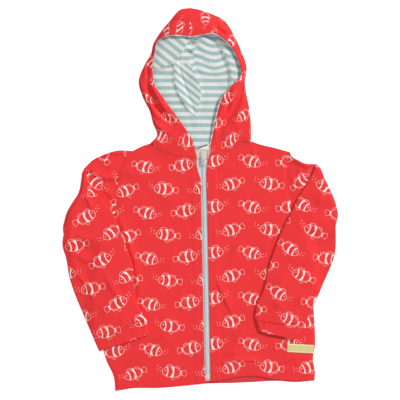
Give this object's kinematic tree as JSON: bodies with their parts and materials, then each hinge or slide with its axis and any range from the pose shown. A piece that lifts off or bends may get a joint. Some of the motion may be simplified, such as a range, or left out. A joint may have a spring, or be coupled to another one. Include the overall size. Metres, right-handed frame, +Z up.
{
  "type": "hoodie",
  "caption": "Child's hooded zip jacket laid flat, front up: back, two fronts, folded-in sleeves with gathered cuffs, open hood with striped lining, and a zip whose pull tab swings.",
  "frame": {"origin": "middle of the laid-out garment's outline, on the surface it lies on", "axes": "+Z up, out of the garment's front; +Y from the hem towards the hood; +X towards the wearer's left sleeve"},
  "size_m": [0.483, 0.67, 0.0156],
  "materials": {
    "printed_cotton": "matt woven cotton, red with an off-white print of small striped fish in half-drop rows",
    "striped_jersey": "soft cotton jersey, mint and off-white stripes of 6.6 mm",
    "zip_tape": "woven polyester tape, pale aqua",
    "zip_coil": "nylon coil, pale aqua",
    "zip_metal": "satin plated zinc, slightly warm",
    "label_lime": "woven satin label, pale yellow-green, bare",
    "label_cream": "woven satin label, off-white, bare"
  },
  "bodies": {
    "garment": {"body_back": "printed_cotton", "front_right": "printed_cotton", "front_left": "printed_cotton", "sleeve_right": "printed_cotton", "sleeve_left": "printed_cotton", "cuff_right": "printed_cotton", "cuff_left": "printed_cotton", "hood_right": "printed_cotton", "hood_left": "printed_cotton", "hood_lining_right": "striped_jersey", "hood_lining_left": "striped_jersey", "zip_tape_right": "zip_tape", "zip_tape_left": "zip_tape", "zip_chain": "zip_coil", "zip_slider": "zip_metal", "zip_box": "zip_metal", "label_side": "label_lime", "label_neck": "label_cream"},
    "pull": {"zip_pull": "zip_metal"}
  },
  "joints": [
    {"name": "pull_swing", "type": "hinge", "parent": "garment", "child": "pull", "pos_m": [0.00646, 0.065, 0.00745], "axis": [1, 0, 0], "range_deg": [0, 170]}
  ]
}
